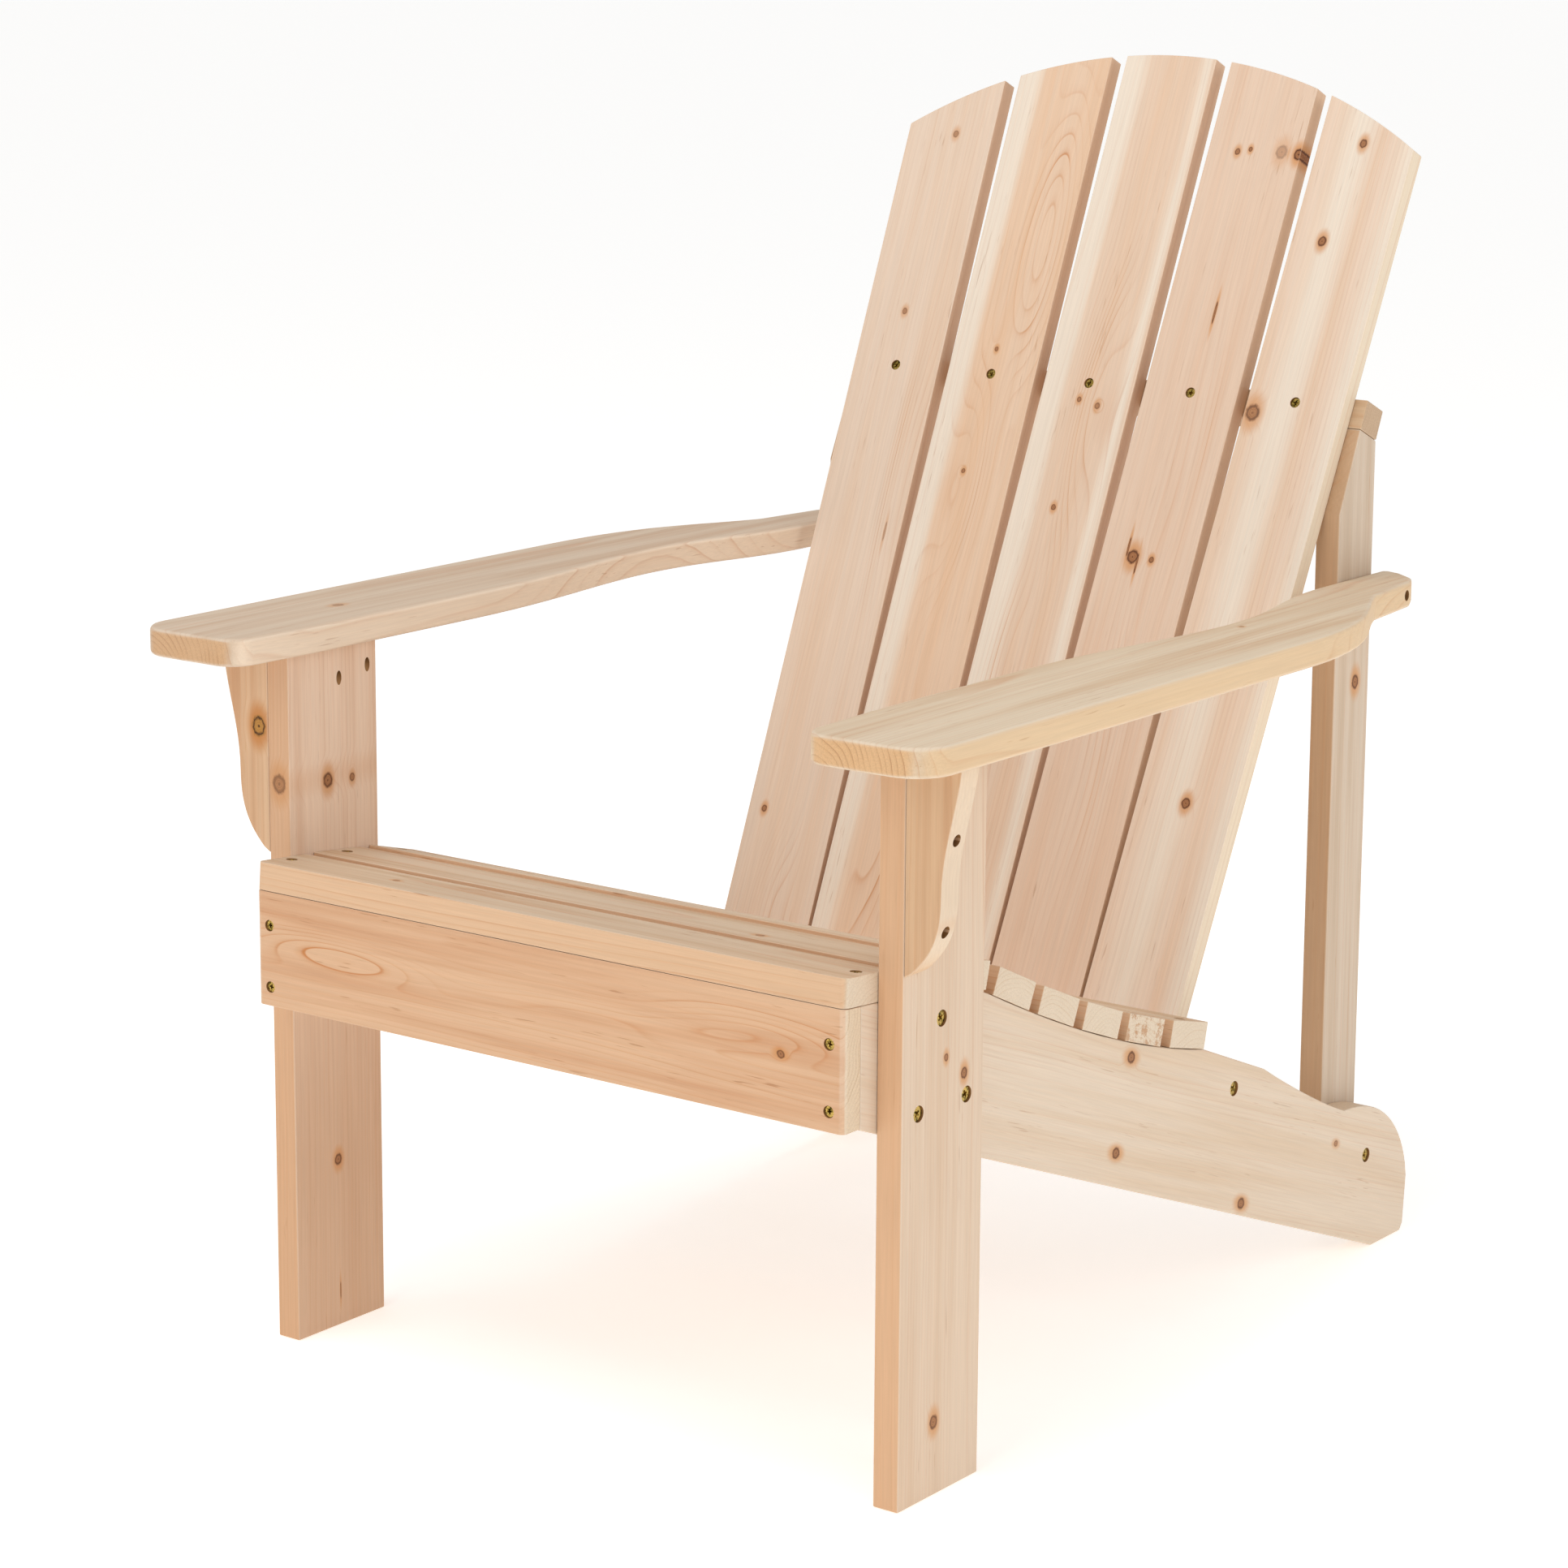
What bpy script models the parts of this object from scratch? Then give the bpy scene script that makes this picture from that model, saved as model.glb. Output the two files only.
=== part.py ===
# Adirondack chair in unfinished cedar boards, put together with countersunk wood screws.
# The sitter faces -Y. Left and right are the sitter's, so the left side is +X.
# Outlines are written from the front faces of the front legs (y = 0) and the floor (z = 0).
# The chair's origin is set to the middle of its footprint at the end.
import math

import bmesh
import bpy
from mathutils import Matrix, Vector
from mathutils.geometry import interpolate_bezier

# Driving dimensions, in metres
BOARD = 0.021          # thickness of nearly every board
GAP = 0.0003           # clearance that touching pieces keep
EDGE = 0.0012          # eased edge of a board
HALF_SEAT = 0.269      # outer face of a stringer, and the ends of the slats and apron

LEG_WIDTH = 0.097
ARM_UNDER = 0.5352     # height of the arms' undersides

APRON_FRONT = -0.0377
APRON_THICK = 0.019
APRON_LOW = 0.2755
APRON_TOP = (0.3628, 0.3612)     # front and back: it slopes as the first seat slat does

STRINGER_FRONT = APRON_FRONT + APRON_THICK + GAP
STRINGER_LOW = 0.2745  # bottom edge at the front end
HEEL_FRONT = 0.702     # flat cut that stands on the floor
HEEL_REAR = 0.750
TAIL_REAR = 0.758

BACK_TILT = math.radians(24.3)
BACK_FOOT = 0.357      # where the slats' front plane would meet the floor
BACK_SLAT_WIDTH = 0.0865
BACK_SLAT_THICK = 0.016
BACK_SLAT_END = 0.200  # lower end, measured along the slats
BACK_TOP = 1.046       # top of the middle slat, measured along the slats
BACK_ARC = 0.450       # radius of the arc across the five tops
BACK_PITCH = 0.0885    # slat spacing at the lower ends
BACK_FAN = 0.0148      # extra spacing for each metre along the slats

RAIL_HEIGHT = 0.024    # both back rails, along the slats
RAIL_DEPTH = 0.028
UPPER_RAIL = 0.759     # centre of the upper rail, along the slats
LOWER_RAIL = 0.219

POST_FRONT = 0.650
POST_REAR = 0.7047
POST_LOW = 0.040

ARM_FRONT = -0.0715
ARM_OUTER = 0.3570
ARM_INNER = 0.2505
TAIL_END = 0.722

SEAT_SLAT_WIDTH = 0.0515
SEAT_FRONTS = (-0.0377, 0.0225, 0.0812, 0.1397, 0.1975, 0.2565, 0.3160, 0.3785)  # front edges

SHANK = 0.0020         # screw radii and lengths
HEAD = 0.0040
WIDE_HEAD = 0.0056     # heads through the legs, and at the rails and posts
TOE_HEAD = 0.0031      # the small heads of the slanting screws
HEAD_DEPTH = 0.0026
TIP = 0.006
SCREW = 0.038
SIDES = 8

INNER_FACE = HALF_SEAT - BOARD            # inner face of a stringer
LEG_IN = HALF_SEAT + GAP
LEG_OUT = LEG_IN + BOARD
REAR_TOP = BACK_FOOT + BACK_TOP * math.sin(BACK_TILT) + BACK_SLAT_THICK * math.cos(BACK_TILT)
CENTRE_Y = (ARM_FRONT + REAR_TOP) / 2
SIDES_OF_CHAIR = (("left", 1), ("right", -1))

for thing in list(bpy.data.objects):
    bpy.data.objects.remove(thing)

chair = bpy.data.collections.new("adirondack_chair")
cutters = bpy.data.collections.new("cutters")
bpy.context.scene.collection.children.link(chair)
bpy.context.scene.collection.children.link(cutters)

origin = bpy.data.objects.new("chair_origin", None)
origin.location = (0, -CENTRE_Y, 0)
bpy.context.scene.collection.objects.link(origin)


# ---------- helpers ----------

def material(name, colour, roughness, metallic=0.0):
    made = bpy.data.materials.new(name)
    made.use_nodes = True
    shader = made.node_tree.nodes["Principled BSDF"]
    shader.inputs["Base Color"].default_value = (*colour, 1)
    shader.inputs["Roughness"].default_value = roughness
    shader.inputs["Metallic"].default_value = metallic
    return made


def place(thing, collection=chair, shade=None):
    for old in list(thing.users_collection):
        old.objects.unlink(thing)
    collection.objects.link(thing)
    thing.parent = origin
    if shade:
        thing.data.materials.clear()
        thing.data.materials.append(shade)
    return thing


def ease(thing, width=EDGE):
    bevel = thing.modifiers.new("eased edges", "BEVEL")
    bevel.width = width
    bevel.segments = 1
    bevel.limit_method = "ANGLE"
    bevel.angle_limit = math.radians(50)


def board(name, size, centre, tilt=0.0, shade=None):
    """A plain rectangular board, turned about X by tilt."""
    bpy.ops.mesh.primitive_cube_add(size=1, location=(0, 0, 0))
    thing = bpy.context.object
    thing.name = name
    thing.data.transform(Matrix.Diagonal((*size, 1)))
    thing.location = centre
    thing.rotation_euler = (tilt, 0, 0)
    place(thing, shade=shade)
    ease(thing)
    return thing


def plank(name, outline, thickness, axes, middle, shade):
    """A board cut to an outline. axes holds the directions of the outline's two coordinates."""
    curve = bpy.data.curves.new(name, "CURVE")
    curve.dimensions = "2D"
    curve.fill_mode = "BOTH"
    curve.extrude = thickness / 2
    line = curve.splines.new("POLY")
    line.points.add(len(outline) - 1)
    for point, (a, b) in zip(line.points, outline):
        point.co = (a, b, 0, 1)
    line.use_cyclic_u = True
    drawn = bpy.data.objects.new(name + "_outline", curve)
    bpy.context.scene.collection.objects.link(drawn)
    across, along = Vector(axes[0]), Vector(axes[1])
    frame = Matrix((across, along, across.cross(along))).transposed().to_4x4()
    drawn.matrix_world = Matrix.Translation(middle) @ frame
    bpy.context.view_layer.update()

    evaluated = drawn.evaluated_get(bpy.context.evaluated_depsgraph_get())
    mesh = bpy.data.meshes.new_from_object(evaluated)
    mesh.name = name
    work = bmesh.new()
    work.from_mesh(mesh)
    bmesh.ops.remove_doubles(work, verts=work.verts, dist=1e-5)
    bmesh.ops.recalc_face_normals(work, faces=work.faces)
    bmesh.ops.dissolve_limit(work, angle_limit=1e-4, verts=work.verts, edges=work.edges)
    work.to_mesh(mesh)
    work.free()
    thing = bpy.data.objects.new(name, mesh)
    thing.matrix_world = drawn.matrix_world
    bpy.data.objects.remove(drawn)
    place(thing, shade=shade)
    ease(thing)
    return thing


def bezier(start, leave, arrive, end, count):
    """Points of one Bezier stretch, without its last point."""
    corners = [Vector((*p, 0)) for p in (start, leave, arrive, end)]
    return [(p.x, p.y) for p in interpolate_bezier(*corners, count + 1)][:-1]


def arc(centre, radius, start, end, count):
    """Points of an arc, both ends included, angles in degrees."""
    turn = [math.radians(start + (end - start) * i / count) for i in range(count + 1)]
    return [(centre[0] + radius * math.cos(a), centre[1] + radius * math.sin(a)) for a in turn]


def turned(name, profile, head, direction):
    """A turned solid. The profile runs along +X (radius) and down its axis from the head."""
    points = [(0, 0)] + profile + [(0, profile[-1][1])]
    if profile[-1][0] == 0:
        points.pop()
    mesh = bpy.data.meshes.new(name)
    work = bmesh.new()
    ring = [work.verts.new((r, 0, -depth)) for r, depth in points]
    for a, b in zip(ring, ring[1:]):
        work.edges.new((a, b))
    work.to_mesh(mesh)
    work.free()
    thing = bpy.data.objects.new(name, mesh)
    screw = thing.modifiers.new("turned", "SCREW")
    screw.steps = SIDES
    screw.render_steps = SIDES
    screw.use_merge_vertices = True
    screw.merge_threshold = 1e-5
    turn = Vector((0, 0, -1)).rotation_difference(Vector(direction)).to_matrix().to_4x4()
    thing.matrix_world = Matrix.Translation(head) @ turn
    return thing


def wood_screw(name, head, direction, boards, length=SCREW, sunk=0.0, radius=HEAD):
    """A countersunk screw and its hole in every board that it passes through.
    head is the middle of the entry on the board's face, and sunk is how deep the head sits."""
    direction = Vector(direction).normalized()
    seat = Vector(head) + direction * (sunk + GAP)
    cone = HEAD_DEPTH * radius / HEAD
    body = [(radius, 0), (radius, 0.0004), (SHANK, cone), (SHANK, length - TIP), (0, length)]
    thing = turned(name, body, seat, direction)
    place(thing, shade=zinc)

    room = GAP + 0.0001
    start = 0.002          # the cutter begins this far outside the face
    seat_depth = start + sunk + GAP
    hole = [(radius + room, 0), (radius + room, seat_depth + 0.0004 + room),
            (SHANK + room, seat_depth + cone + room), (SHANK + room, seat_depth + length + room)]
    cutter = turned(name + "_hole", hole, Vector(head) - direction * start, direction)
    place(cutter, cutters)
    cutter.hide_render = True
    cutter.display_type = "WIRE"
    for piece in boards:
        cut = piece.modifiers.new("screw hole", "BOOLEAN")
        cut.operation = "DIFFERENCE"
        cut.solver = "EXACT"
        cut.object = cutter
    return thing


def on_back(x, along, behind):
    """A point of the back: across, up along the slats, and behind their front faces."""
    sin, cos = math.sin(BACK_TILT), math.cos(BACK_TILT)
    return Vector((x, BACK_FOOT + along * sin + behind * cos, along * cos - behind * sin))


UP_THE_BACK = (0, math.sin(BACK_TILT), math.cos(BACK_TILT))
BEHIND = (0, math.cos(BACK_TILT), -math.sin(BACK_TILT))

zinc = material("yellow_zinc", (0.45, 0.35, 0.13), 0.35, 1.0)
pale = material("cedar_pale", (0.74, 0.56, 0.38), 0.62)
heart = material("cedar_heart", (0.72, 0.47, 0.30), 0.62)
grey = material("cedar_planed", (0.66, 0.51, 0.35), 0.62)


# ---------- stringers, legs and apron ----------

def seat_edge():
    """The stringer's top edge under the seat, from its front end to the last slat."""
    knee = (0.135, 0.3365)
    return (bezier((STRINGER_FRONT, 0.3612), (0.0566, 0.3551), (0.100, 0.3523), knee, 8)
            + bezier(knee, (0.235, 0.2885), (0.330, 0.2504), (0.430, 0.2284), 10)
            + [(0.430, 0.2284)])


def stringer_outline():
    shoulder = (0.521, 0.1919)
    valley = (0.650, 0.1272)
    outline = [(HEEL_FRONT, 0), (HEEL_REAR, 0), (0.7545, 0.006)]
    outline += [(TAIL_REAR, 0.046)]
    outline += bezier((TAIL_REAR, 0.048), (0.750, 0.094), (0.712, 0.126), valley, 9)[1:]
    outline += bezier(valley, (0.620, 0.1385), (0.560, 0.169), shoulder, 6)
    outline += [shoulder]
    outline += list(reversed(seat_edge()))
    outline += [(STRINGER_FRONT, STRINGER_LOW)]
    return outline


stringers = {}
legs = {}
for side, sign in SIDES_OF_CHAIR:
    middle = (sign * (HALF_SEAT - BOARD / 2), 0, 0)
    stringers[side] = plank("stringer_" + side, stringer_outline(), BOARD,
                            ((0, 1, 0), (0, 0, 1)), middle, pale)
    leg_height = ARM_UNDER - GAP
    legs[side] = board("front_leg_" + side, (BOARD, LEG_WIDTH, leg_height),
                       (sign * (LEG_IN + BOARD / 2), LEG_WIDTH / 2, leg_height / 2), shade=heart)

apron = board("front_apron", (2 * HALF_SEAT, APRON_THICK, APRON_TOP[0] - APRON_LOW),
              (0, APRON_FRONT + APRON_THICK / 2, (APRON_TOP[0] + APRON_LOW) / 2), shade=heart)
for corner in apron.data.vertices:
    if corner.co.y > 0 and corner.co.z > 0:
        corner.co.z -= APRON_TOP[0] - APRON_TOP[1]


# ---------- seat slats ----------

def edge_height(y):
    edge = seat_edge()
    for (y0, z0), (y1, z1) in zip(edge, edge[1:]):
        if y0 <= y <= y1:
            return z0 + (z1 - z0) * (y - y0) / (y1 - y0)
    return edge[0][1] if y < edge[0][0] else edge[-1][1]


def rest_slat(front):
    """Where a slat lies on the stringers: its tilt and the middle of its underside."""
    start = max(front, STRINGER_FRONT)
    tilt = 0.0
    for _ in range(5):
        end = front + SEAT_SLAT_WIDTH * math.cos(tilt)
        slope = (edge_height(end) - edge_height(start)) / (end - start)
        tilt = math.atan(slope)
    steps = [start + (end - start) * i / 20 for i in range(21)]
    lift = max(edge_height(y) - edge_height(start) - slope * (y - start) for y in steps)
    middle = (front + end) / 2
    height = edge_height(start) + slope * (middle - start) + lift + GAP / math.cos(tilt)
    return tilt, Vector((0, middle, height))


for number, front in enumerate(SEAT_FRONTS, 1):
    tilt, under = rest_slat(front)
    up = Vector((0, -math.sin(tilt), math.cos(tilt)))
    size = (2 * HALF_SEAT, SEAT_SLAT_WIDTH, BOARD)
    board(f"seat_slat_{number}", size, under + up * (BOARD / 2), tilt, pale)


# ---------- back slats and rails ----------

def slat_centre(order, along):
    return order * (BACK_PITCH + BACK_FAN * (along - BACK_SLAT_END))


def back_slat_outline(order):
    """Straight sides that fan out, and a top cut to the arc that all five share."""
    lean = order * BACK_FAN
    half = BACK_SLAT_WIDTH / 2
    foot = slat_centre(order, BACK_SLAT_END)
    arc_centre = BACK_TOP - BACK_ARC

    def side_top(offset):
        along = BACK_TOP
        for _ in range(20):
            x = foot + offset + lean * (along - BACK_SLAT_END)
            along = arc_centre + math.sqrt(BACK_ARC ** 2 - x ** 2)
        return x

    right, left = side_top(half), side_top(-half)
    count = 6
    tops = [right + (left - right) * i / count for i in range(count + 1)]
    top_edge = [(x, arc_centre + math.sqrt(BACK_ARC ** 2 - x ** 2)) for x in tops]
    return [(foot - half, BACK_SLAT_END), (foot + half, BACK_SLAT_END)] + top_edge


back_slats = []
for order in range(-2, 3):
    shade = pale if order in (0, 2) else heart
    slat = plank(f"back_slat_{order + 3}", back_slat_outline(order), BACK_SLAT_THICK,
                 ((1, 0, 0), UP_THE_BACK), on_back(0, 0, BACK_SLAT_THICK / 2), shade)
    back_slats.append(slat)

rail_behind = BACK_SLAT_THICK + GAP + RAIL_DEPTH / 2
rails = {}
for name, along, half_length in (("upper", UPPER_RAIL, INNER_FACE - GAP),
                                 ("lower", LOWER_RAIL, INNER_FACE - GAP)):
    rails[name] = board(f"{name}_back_rail", (2 * half_length, RAIL_DEPTH, RAIL_HEIGHT),
                        on_back(0, along, rail_behind), -BACK_TILT, grey)


# ---------- posts ----------

def post_outline():
    """Upright board: top cut square to the back, front corner bevelled along the slats."""
    behind = BACK_SLAT_THICK + GAP
    cut = UPPER_RAIL - RAIL_HEIGHT / 2 - GAP
    sin, cos = math.sin(BACK_TILT), math.cos(BACK_TILT)
    rear_top = (cut - (POST_REAR - BACK_FOOT) * sin) / cos
    front_top = on_back(0, cut, behind)
    bevel_along = (POST_FRONT - BACK_FOOT - behind * cos) / sin
    bevel_foot = on_back(0, bevel_along, behind)
    return [(POST_FRONT, POST_LOW), (POST_REAR, POST_LOW), (POST_REAR, rear_top),
            (front_top.y, front_top.z), (POST_FRONT, bevel_foot.z)]


posts = {}
for side, sign in SIDES_OF_CHAIR:
    middle = (sign * (INNER_FACE - GAP - BOARD / 2), 0, 0)
    posts[side] = plank("rear_post_" + side, post_outline(), BOARD,
                        ((0, 1, 0), (0, 0, 1)), middle, grey)


# ---------- arms and brackets ----------

def arm_outline():
    """Seen from above: broad front with round corners, waist inside, narrow tail beside the post."""
    round_in, round_out = 0.022, 0.030
    tail_in = INNER_FACE + GAP
    waist = (0.2735, 0.440)
    outline = arc((ARM_OUTER - round_out, ARM_FRONT + round_out), round_out, -90, 0, 5)
    outline += bezier((ARM_OUTER, 0.410), (ARM_OUTER, 0.530), (0.318, 0.565), (0.300, 0.618), 8)
    outline += [(0.300, 0.618), (0.2915, 0.688)]
    outline += [(0.284, 0.704), (0.266, TAIL_END - 0.004)]
    outline += [(0.254, TAIL_END), (tail_in, TAIL_END - 0.004)]
    outline += bezier((tail_in, 0.620), (tail_in, 0.550), (waist[0], 0.515), waist, 6)
    outline += bezier(waist, (waist[0], 0.365), (ARM_INNER, 0.300), (ARM_INNER, 0.190), 6)
    outline += [(ARM_INNER, 0.190), (ARM_INNER, 0.010)]
    outline += arc((ARM_INNER + 0.003 + round_in, ARM_FRONT + round_in), round_in, 175, 270, 5)
    return outline


def bracket_outline():
    """Seen from the front: straight against the leg, S-shaped outside. x runs out from the leg."""
    top = ARM_UNDER - GAP
    inside = LEG_OUT + GAP
    waist = (0.320, 0.440)
    outline = [(inside, 0.3805), (inside, top), (0.336, top)]
    outline += bezier((0.336, top), (0.333, 0.500), (0.320, 0.475), waist, 6)[1:]
    outline += bezier(waist, (0.320, 0.412), (0.312, 0.397), (inside + 0.002, 0.3805), 7)
    return outline


arms = {}
brackets = {}
for side, sign in SIDES_OF_CHAIR:
    arms[side] = plank("arm_" + side, [(sign * x, y) for x, y in arm_outline()][::sign], BOARD,
                       ((1, 0, 0), (0, 1, 0)), (0, 0, ARM_UNDER + BOARD / 2), grey)
    outline = [(sign * x, z) for x, z in bracket_outline()][::sign]
    brackets[side] = plank("arm_bracket_" + side, outline, BOARD,
                           ((1, 0, 0), (0, 0, 1)), (0, BOARD / 2, 0), heart)


# ---------- screws ----------

for slat, order in zip(back_slats, range(-2, 3)):
    for level, along in (("upper", UPPER_RAIL), ("lower", LOWER_RAIL)):
        wood_screw(f"back_screw_{level}_{order + 3}", on_back(slat_centre(order, along), along, 0),
                   BEHIND, (slat, rails[level]), length=0.036)

for side, sign in SIDES_OF_CHAIR:
    inward = (-sign, 0, 0)
    stringer, leg, post, arm = stringers[side], legs[side], posts[side], arms[side]
    for number, z in enumerate((0.337, 0.290), 1):
        wood_screw(f"apron_screw_{side}_{number}", (sign * 0.2565, APRON_FRONT, z), (0, 1, 0),
                   (apron, stringer))
    for number, (y, z) in enumerate(((0.046, 0.3425), (0.077, 0.2815), (0.0195, 0.281)), 1):
        wood_screw(f"leg_screw_{side}_{number}", (sign * LEG_OUT, y, z), inward, (leg, stringer),
                   radius=WIDE_HEAD)
    rail_middle = on_back(0, LOWER_RAIL, rail_behind)
    wood_screw("rail_screw_" + side, (sign * HALF_SEAT, rail_middle.y, rail_middle.z), inward,
               (stringer, rails["lower"]), radius=WIDE_HEAD)
    wood_screw("post_screw_" + side, (sign * HALF_SEAT, 0.688, 0.0805), inward, (stringer, post),
               radius=WIDE_HEAD)
    for number, (y, z) in enumerate(((0.0555, 0.508), (0.0870, 0.5135)), 1):
        wood_screw(f"toe_screw_{side}_{number}", (sign * LEG_IN, y, z),
                   (sign * 0.5, 0, 0.866), (leg, arm), sunk=0.0055, radius=TOE_HEAD)
    for number, z in enumerate((0.478, 0.414), 1):
        wood_screw(f"bracket_screw_{side}_{number}", (sign * 0.330, BOARD / 2, z), inward,
                   (brackets[side], leg), sunk=0.018)
    wood_screw("arm_screw_" + side, (sign * 0.296, 0.6815, ARM_UNDER + BOARD / 2), inward,
               (arm, post), sunk=0.018)
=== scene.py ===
# Adirondack chair in unfinished planed softwood, put together with yellow-zinc wood screws.
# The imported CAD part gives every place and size. Each board is made again here with rounded
# edges, round screw holes and its own grain, and each screw with its thread and cross recess.
import math
import random

import bpy
from mathutils import Matrix, Vector
from mathutils.geometry import interpolate_bezier
from mathutils.kdtree import KDTree


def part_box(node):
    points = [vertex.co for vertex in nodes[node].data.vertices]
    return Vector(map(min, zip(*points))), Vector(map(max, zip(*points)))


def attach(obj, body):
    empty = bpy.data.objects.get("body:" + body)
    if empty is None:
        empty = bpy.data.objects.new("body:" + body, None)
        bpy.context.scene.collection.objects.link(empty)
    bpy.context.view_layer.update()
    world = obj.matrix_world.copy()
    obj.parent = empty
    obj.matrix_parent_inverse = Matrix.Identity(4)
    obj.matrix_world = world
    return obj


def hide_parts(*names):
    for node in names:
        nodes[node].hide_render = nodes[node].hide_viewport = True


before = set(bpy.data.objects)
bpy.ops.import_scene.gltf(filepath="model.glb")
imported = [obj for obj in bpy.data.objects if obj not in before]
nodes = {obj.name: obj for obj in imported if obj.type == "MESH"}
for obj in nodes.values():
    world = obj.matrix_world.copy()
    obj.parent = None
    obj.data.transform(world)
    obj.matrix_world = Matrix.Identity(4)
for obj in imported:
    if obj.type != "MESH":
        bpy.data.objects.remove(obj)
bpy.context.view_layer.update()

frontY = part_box("front_leg_left")[0].y     # front faces of the front legs; outlines start there
mm = 0.001


def toLinear(hexColour):
    # sRGB hex to the linear colour that a node takes
    parts = [int(hexColour[i:i + 2], 16) / 255 for i in (1, 3, 5)]
    return tuple(c / 12.92 if c <= 0.04045 else ((c + 0.055) / 1.055) ** 2.4 for c in parts) + (1.0,)


def addNode(tree, kind, inputs=None, stops=None, **settings):
    # one node, its settings, and a value or a link for each named input
    made = tree.nodes.new(kind)
    for key, value in settings.items():
        setattr(made, key, value)
    for key, value in (inputs or {}).items():
        if isinstance(value, bpy.types.NodeSocket):
            tree.links.new(value, made.inputs[key])
        else:
            made.inputs[key].default_value = value
    if stops:
        ramp = made.color_ramp
        while len(ramp.elements) < len(stops):
            ramp.elements.new(0.5)
        for element, (place, colour) in zip(ramp.elements, stops):
            element.position = place
            element.color = toLinear(colour) if isinstance(colour, str) else (colour, colour, colour, 1)
    return made


def noise(tree, vector, scale):
    inputs = {"Vector": vector, "Scale": scale, "Detail": 2.0}
    return addNode(tree, "ShaderNodeTexNoise", inputs).outputs["Fac"]


def newMaterial(name):
    made = bpy.data.materials.new(name)
    made.use_nodes = True
    return made, made.node_tree, made.node_tree.nodes["Principled BSDF"]


def clearSelection():
    if bpy.context.object and bpy.context.object.mode != "OBJECT":
        bpy.ops.object.mode_set(mode="OBJECT")
    bpy.ops.object.select_all(action="DESELECT")


def pick(thing):
    clearSelection()
    thing.select_set(True)
    bpy.context.view_layer.objects.active = thing


def applyModifier(thing, kind, **settings):
    pick(thing)
    made = thing.modifiers.new(kind.lower(), kind)
    for key, value in settings.items():
        setattr(made, key, value)
    bpy.ops.object.modifier_apply(modifier=made.name)


def bezier(start, leave, arrive, end, count):
    corners = [Vector((*p, 0)) for p in (start, leave, arrive, end)]
    return [(p.x, p.y) for p in interpolate_bezier(*corners, count + 1)][:-1]


def arc(centre, radius, start, end, count):
    turns = [math.radians(start + (end - start) * i / count) for i in range(count + 1)]
    return [(centre[0] + radius * math.cos(t), centre[1] + radius * math.sin(t)) for t in turns]


def axesMatrix(along, across, centre):
    # a board's own frame: X along the grain, Y across its face, Z through its thickness
    along, across = Vector(along).normalized(), Vector(across).normalized()
    turn = Matrix((along, across, along.cross(across))).transposed().to_4x4()
    return Matrix.Translation(centre) @ turn


camera = {
    "place": (1.86884, -2.61937, 1.12970),
    "azimuth": 36.949,          # degrees round from straight in front
    "elevation": 11.255,
    "roll": 0.272,
    "lens": 97.55,              # for a 36 mm sensor
    "shift": (0.0119, -0.0653),
}

studio = {
    "floorRadius": 60.0,
    "floorColour": "#F4F3F1",
    "floorGlow": 0.45,           # lifts the far floor to the white of studio paper
    "skyColour": "#FFFFFF",
    "skyStrength": 0.57,
    "lamps": [                  # name, place, aim, size, watts, colour
        ("windowRight", (3.7, 0.2, 1.7), (0.1, 0.0, 0.45), 2.2, 29.0, "#FBFDFF"),
        ("softTop", (-0.3, -1.4, 3.8), (0.0, 0.0, 0.4), 2.2, 50.0, "#FCFCFF"),
        ("highFront", (0.3, -3.9, 2.5), (0.0, 0.0, 0.4), 1.8, 20.0, "#FFF0E0"),
    ],
}


def makeCamera():
    data = bpy.data.cameras.new("studioCamera")
    data.sensor_width = 36
    data.lens = camera["lens"]
    data.shift_x, data.shift_y = camera["shift"]
    data.dof.use_dof = False
    data.clip_end = 200
    thing = bpy.data.objects.new("studioCamera", data)
    bpy.context.scene.collection.objects.link(thing)
    turn = (Matrix.Rotation(math.radians(camera["azimuth"]), 4, "Z")
            @ Matrix.Rotation(math.radians(90 - camera["elevation"]), 4, "X")
            @ Matrix.Rotation(math.radians(camera["roll"]), 4, "Z"))
    thing.matrix_world = Matrix.Translation(camera["place"]) @ turn
    bpy.context.scene.camera = thing


def makeStudio():
    clearSelection()
    bpy.ops.mesh.primitive_circle_add(vertices=96, radius=studio["floorRadius"], fill_type="NGON",
                                      location=(0, 0, -0.0005))
    floor = bpy.context.object
    floor.name = "studio_floor"
    matt, _, shader = newMaterial("studio paper")
    shader.inputs["Base Color"].default_value = toLinear(studio["floorColour"])
    shader.inputs["Roughness"].default_value = 0.9
    shader.inputs["Emission Color"].default_value = (1, 1, 1, 1)
    shader.inputs["Emission Strength"].default_value = studio["floorGlow"]
    floor.data.materials.append(matt)

    world = bpy.data.worlds.new("studio sky")
    bpy.context.scene.world = world
    world.use_nodes = True
    sky = world.node_tree.nodes["Background"]
    sky.inputs["Color"].default_value = toLinear(studio["skyColour"])
    sky.inputs["Strength"].default_value = studio["skyStrength"]

    for name, place, aim, size, watts, colour in studio["lamps"]:
        data = bpy.data.lights.new(name, "AREA")
        data.shape = "SQUARE"
        data.size = size
        data.energy = watts
        data.color = toLinear(colour)[:3]
        lamp = bpy.data.objects.new(name, data)
        bpy.context.scene.collection.objects.link(lamp)
        lamp.location = place
        lamp.rotation_euler = (Vector(aim) - Vector(place)).to_track_quat("-Z", "Y").to_euler()
    bpy.context.scene.view_settings.view_transform = "Standard"


makeCamera()
makeStudio()
print("camera, floor and light made")


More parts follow.
